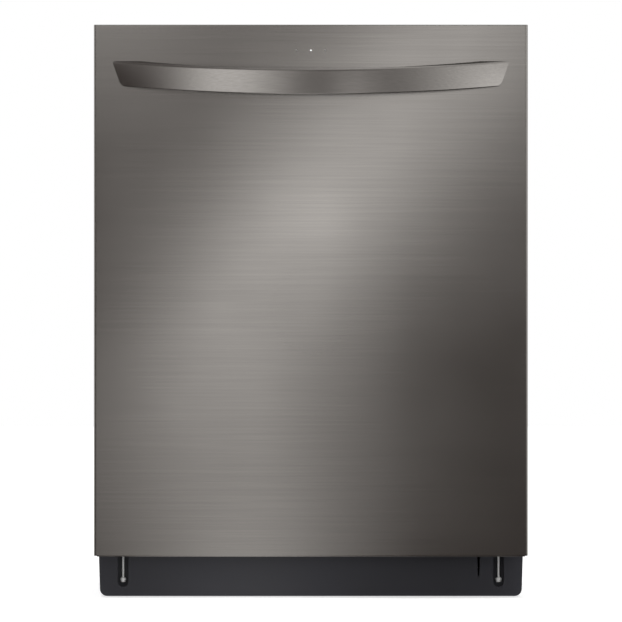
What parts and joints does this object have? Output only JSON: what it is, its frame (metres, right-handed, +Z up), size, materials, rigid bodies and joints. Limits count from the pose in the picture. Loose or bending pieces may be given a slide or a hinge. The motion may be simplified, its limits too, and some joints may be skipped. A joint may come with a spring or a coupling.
{
  "type": "built-in dishwasher",
  "caption": "Front-loading dishwasher for a gap under a worktop: a flat steel door with a bowed bar handle folds down over a recessed base; racks and spray arms stand inside a steel tub.",
  "frame": {"origin": "On the floor, in the middle of the machine's width and of its depth from the handle's foremost point to the back, with the door closed and the feet screwed home.", "axes": "+Z up; +X to the right seen from the front; +Y from the door to the back, so the door faces -Y."},
  "size_m": [0.603, 0.673, 0.798],
  "materials": {
    "black_steel": "black stainless steel, fine horizontal brushing, satin",
    "tub_steel": "bare stainless steel, smooth satin",
    "zinc_steel": "zinc-plated sheet steel, dull",
    "black_plastic": "moulded plastic, fine satin texture",
    "grey_plastic": "moulded plastic, satin",
    "dark_nylon": "smooth nylon, satin",
    "grey_nylon": "moulded nylon, satin",
    "black_rubber": "soft extruded rubber, matt",
    "grey_felt": "pressed fibre blanket, rough",
    "clear_lens": "clear moulding, polished",
    "bright_steel": "bright plated steel"
  },
  "bodies": {
    "cabinet": {"base_tray": "black_plastic", "tub": "tub_steel", "tub_gasket": "black_rubber", "side_panel_left": "zinc_steel", "side_panel_right": "zinc_steel", "rear_panel": "zinc_steel", "top_blanket": "grey_felt", "mounting_bracket_left": "zinc_steel", "mounting_bracket_right": "zinc_steel", "latch_striker": "zinc_steel", "hinge_bracket_left": "zinc_steel", "hinge_bracket_right": "zinc_steel", "hinge_spring_left": "zinc_steel", "hinge_spring_right": "zinc_steel", "sump": "black_plastic", "filter_plate": "tub_steel", "wash_pump": "black_plastic", "drain_pump": "grey_plastic", "inlet_valve": "grey_plastic", "feed_pipe": "grey_plastic", "upper_rail_left": "tub_steel", "upper_rail_right": "tub_steel", "third_rail_left": "tub_steel", "third_rail_right": "tub_steel"},
    "door": {"door_outer_panel": "black_steel", "door_inner_panel": "tub_steel", "control_fascia": "black_plastic", "door_handle": "black_steel", "door_latch": "black_plastic", "dispenser_body": "grey_plastic", "light_guide": "clear_lens", "hinge_arm_left": "zinc_steel", "hinge_arm_right": "zinc_steel"},
    "lower_rack": {"lower_rack": "dark_nylon", "lower_rack_floor": "dark_nylon"},
    "upper_rack": {"upper_rack": "dark_nylon", "upper_rack_floor": "dark_nylon", "middle_manifold": "grey_plastic"},
    "third_rack": {"third_rack": "dark_nylon"},
    "leg_front_left": {"leg_front_left": "black_plastic"},
    "leg_front_right": {"leg_front_right": "black_plastic"},
    "leg_rear_left": {"leg_rear_left": "black_plastic"},
    "leg_rear_right": {"leg_rear_right": "black_plastic"},
    "tension_screw_left": {"tension_screw_left": "bright_steel"},
    "tension_screw_right": {"tension_screw_right": "bright_steel"},
    "filter_cup": {"filter_cup": "grey_nylon"},
    "lower_spray_arm": {"lower_spray_arm": "dark_nylon"},
    "middle_spray_arm": {"middle_spray_arm": "dark_nylon"},
    "top_spray_arm": {"top_spray_arm": "dark_nylon"},
    "lower_rack_tines": {"lower_rack_tines": "dark_nylon"},
    "cutlery_basket": {"cutlery_basket": "grey_plastic"},
    "lower_wheel_front_left": {"lower_wheel_front_left": "grey_nylon"},
    "lower_wheel_front_right": {"lower_wheel_front_right": "grey_nylon"},
    "lower_wheel_rear_left": {"lower_wheel_rear_left": "grey_nylon"},
    "lower_wheel_rear_right": {"lower_wheel_rear_right": "grey_nylon"},
    "dispenser_lid": {"dispenser_lid": "dark_nylon"},
    "rinse_cap": {"rinse_cap": "dark_nylon"},
    "button_power": {"button_power": "dark_nylon"},
    "button_program": {"button_program": "dark_nylon"},
    "button_start": {"button_start": "dark_nylon"}
  },
  "joints": [
    {"name": "door_hinge", "type": "hinge", "parent": "cabinet", "child": "door", "pos_m": [0, -0.25, 0.095], "axis": [1, 0, 0], "range_deg": [0, 90], "stiffness_Nm_per_rad": 17, "deforming": ["hinge_spring_left", "hinge_spring_right"]},
    {"name": "leg_front_left_screw", "type": "slide", "parent": "cabinet", "child": "leg_front_left", "axis": [0, 0, -1], "range_m": [0, 0.06]},
    {"name": "leg_front_right_screw", "type": "slide", "parent": "cabinet", "child": "leg_front_right", "axis": [0, 0, -1], "range_m": [0, 0.06]},
    {"name": "leg_rear_left_screw", "type": "slide", "parent": "cabinet", "child": "leg_rear_left", "axis": [0, 0, -1], "range_m": [0, 0.06]},
    {"name": "leg_rear_right_screw", "type": "slide", "parent": "cabinet", "child": "leg_rear_right", "axis": [0, 0, -1], "range_m": [0, 0.06]},
    {"name": "tension_left_turn", "type": "hinge", "parent": "cabinet", "child": "tension_screw_left", "pos_m": [-0.263, -0.201, 0.05], "axis": [0, 0, 1], "continuous": true},
    {"name": "tension_right_turn", "type": "hinge", "parent": "cabinet", "child": "tension_screw_right", "pos_m": [0.263, -0.201, 0.05], "axis": [0, 0, 1], "continuous": true},
    {"name": "filter_twist", "type": "hinge", "parent": "cabinet", "child": "filter_cup", "pos_m": [0.088, -0.018, 0.12], "axis": [0, 0, 1], "range_deg": [0, 90]},
    {"name": "lower_arm_spin", "type": "hinge", "parent": "cabinet", "child": "lower_spray_arm", "pos_m": [0, 0.03, 0.147], "axis": [0, 0, 1], "continuous": true},
    {"name": "middle_arm_spin", "type": "hinge", "parent": "upper_rack", "child": "middle_spray_arm", "pos_m": [0, 0.03, 0.405], "axis": [0, 0, 1], "continuous": true},
    {"name": "top_arm_spin", "type": "hinge", "parent": "cabinet", "child": "top_spray_arm", "pos_m": [0, 0.03, 0.706], "axis": [0, 0, 1], "continuous": true},
    {"name": "lower_rack_slide", "type": "slide", "parent": "cabinet", "child": "lower_rack", "axis": [0, -1, 0], "range_m": [0, 0.012]},
    {"name": "upper_rack_slide", "type": "slide", "parent": "cabinet", "child": "upper_rack", "axis": [0, -1, 0], "range_m": [0, 0.012]},
    {"name": "third_rack_slide", "type": "slide", "parent": "cabinet", "child": "third_rack", "axis": [0, -1, 0], "range_m": [0, 0.012]},
    {"name": "wheel_front_left_roll", "type": "hinge", "parent": "lower_rack", "child": "lower_wheel_front_left", "pos_m": [-0.258, -0.15, 0.1358], "axis": [1, 0, 0], "range_deg": [0, 39]},
    {"name": "wheel_front_right_roll", "type": "hinge", "parent": "lower_rack", "child": "lower_wheel_front_right", "pos_m": [0.258, -0.15, 0.1358], "axis": [1, 0, 0], "range_deg": [0, 39]},
    {"name": "wheel_rear_left_roll", "type": "hinge", "parent": "lower_rack", "child": "lower_wheel_rear_left", "pos_m": [-0.258, 0.205, 0.1358], "axis": [1, 0, 0], "range_deg": [0, 39]},
    {"name": "wheel_rear_right_roll", "type": "hinge", "parent": "lower_rack", "child": "lower_wheel_rear_right", "pos_m": [0.258, 0.205, 0.1358], "axis": [1, 0, 0], "range_deg": [0, 39]},
    {"name": "tines_fold", "type": "hinge", "parent": "lower_rack", "child": "lower_rack_tines", "pos_m": [-0.117, 0.12, 0.1749], "axis": [1, 0, 0], "range_deg": [0, 90]},
    {"name": "cutlery_lift", "type": "slide", "parent": "lower_rack", "child": "cutlery_basket", "axis": [0, 0, 1], "range_m": [0, 0.04]},
    {"name": "dispenser_lid_slide", "type": "slide", "parent": "door", "child": "dispenser_lid", "axis": [1, 0, 0], "range_m": [0, 0.074]},
    {"name": "rinse_cap_twist", "type": "hinge", "parent": "door", "child": "rinse_cap", "pos_m": [0.058, -0.2245, 0.446], "axis": [0, 1, 0], "range_deg": [0, 90]},
    {"name": "button_power_press", "type": "slide", "parent": "door", "child": "button_power", "axis": [0, 0, -1], "range_m": [0, 0.0012], "stiffness_N_per_m": 800},
    {"name": "button_program_press", "type": "slide", "parent": "door", "child": "button_program", "axis": [0, 0, -1], "range_m": [0, 0.0012], "stiffness_N_per_m": 800},
    {"name": "button_start_press", "type": "slide", "parent": "door", "child": "button_start", "axis": [0, 0, -1], "range_m": [0, 0.0012], "stiffness_N_per_m": 800}
  ],
  "couplings": [
    {"joint": "wheel_front_left_roll", "follows": "lower_rack_slide", "rad_per_m": 55.556},
    {"joint": "wheel_front_right_roll", "follows": "lower_rack_slide", "rad_per_m": 55.556},
    {"joint": "wheel_rear_left_roll", "follows": "lower_rack_slide", "rad_per_m": 55.556},
    {"joint": "wheel_rear_right_roll", "follows": "lower_rack_slide", "rad_per_m": 55.556}
  ]
}
